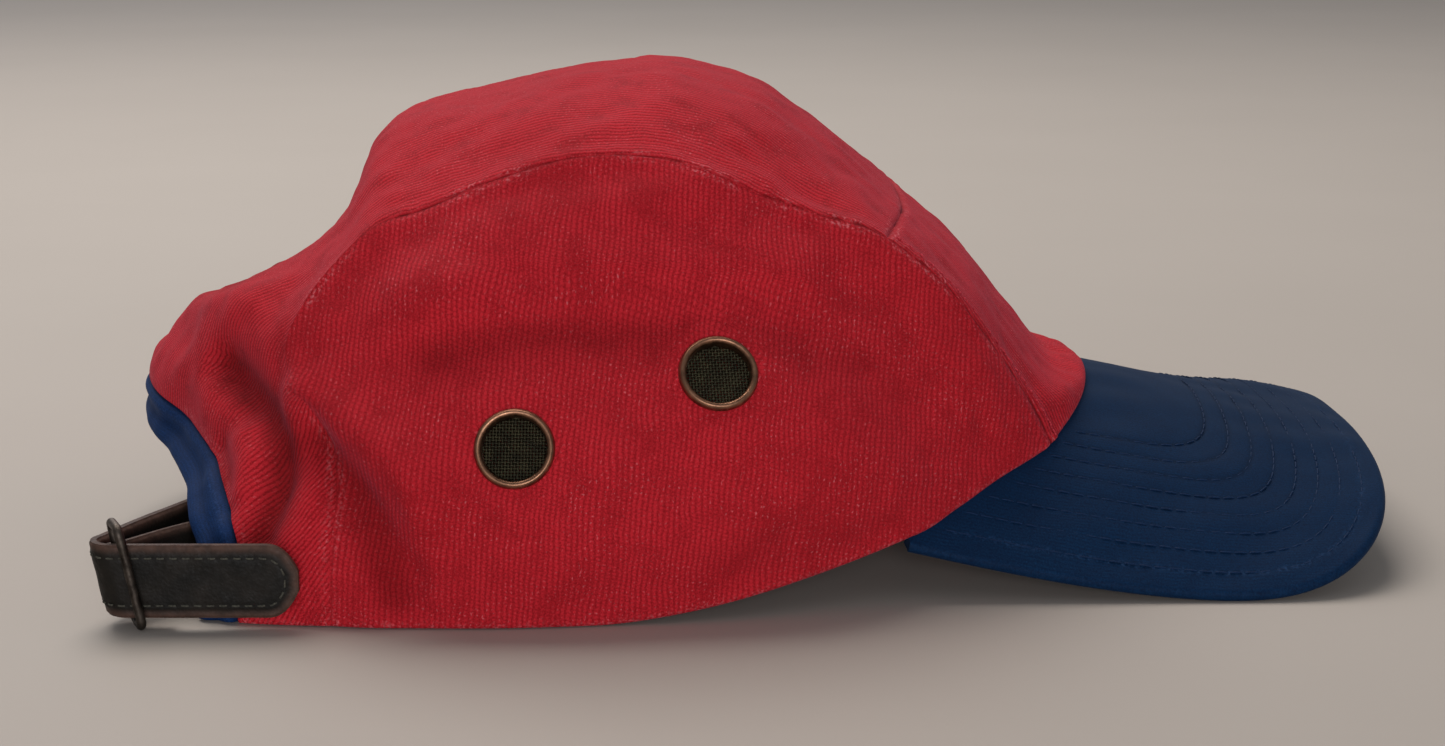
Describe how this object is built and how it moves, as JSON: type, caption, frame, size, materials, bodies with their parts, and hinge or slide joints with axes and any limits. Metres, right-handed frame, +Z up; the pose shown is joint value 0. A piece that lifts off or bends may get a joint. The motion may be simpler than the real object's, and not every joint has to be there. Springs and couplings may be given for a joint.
{
  "type": "camp cap",
  "caption": "Soft camp cap with a low front panel, long top panel, D-shaped side panels, bent visor, bound arch at the back and a leather strap through a wire loop.",
  "frame": {"origin": "bottom centre of the cap's box, on the surface that it stands on", "axes": "+X towards the visor, +Y towards the wearer's left, +Z up"},
  "size_m": [0.2652, 0.1836, 0.099],
  "materials": {
    "red_cloth": "brushed ribbed twill",
    "blue_cloth": "plain twill",
    "leather": "dull, with lighter cut edges",
    "brass": "antique, worn on the high edges",
    "wire_mesh": "dark"
  },
  "bodies": {
    "root": {"front_panel": "red_cloth", "top_panel": "red_cloth", "side_panel_right": "red_cloth", "side_panel_left": "red_cloth", "visor": "blue_cloth", "arch_binding": "blue_cloth", "strap": "leather", "strap_tab": "leather", "strap_loop": "brass", "eyelet_front_right": "brass", "eyelet_rear_right": "brass", "eyelet_front_left": "brass", "eyelet_rear_left": "brass", "eyelet_mesh_front_right": "wire_mesh", "eyelet_mesh_rear_right": "wire_mesh", "eyelet_mesh_front_left": "wire_mesh", "eyelet_mesh_rear_left": "wire_mesh"}
  },
  "joints": []
}
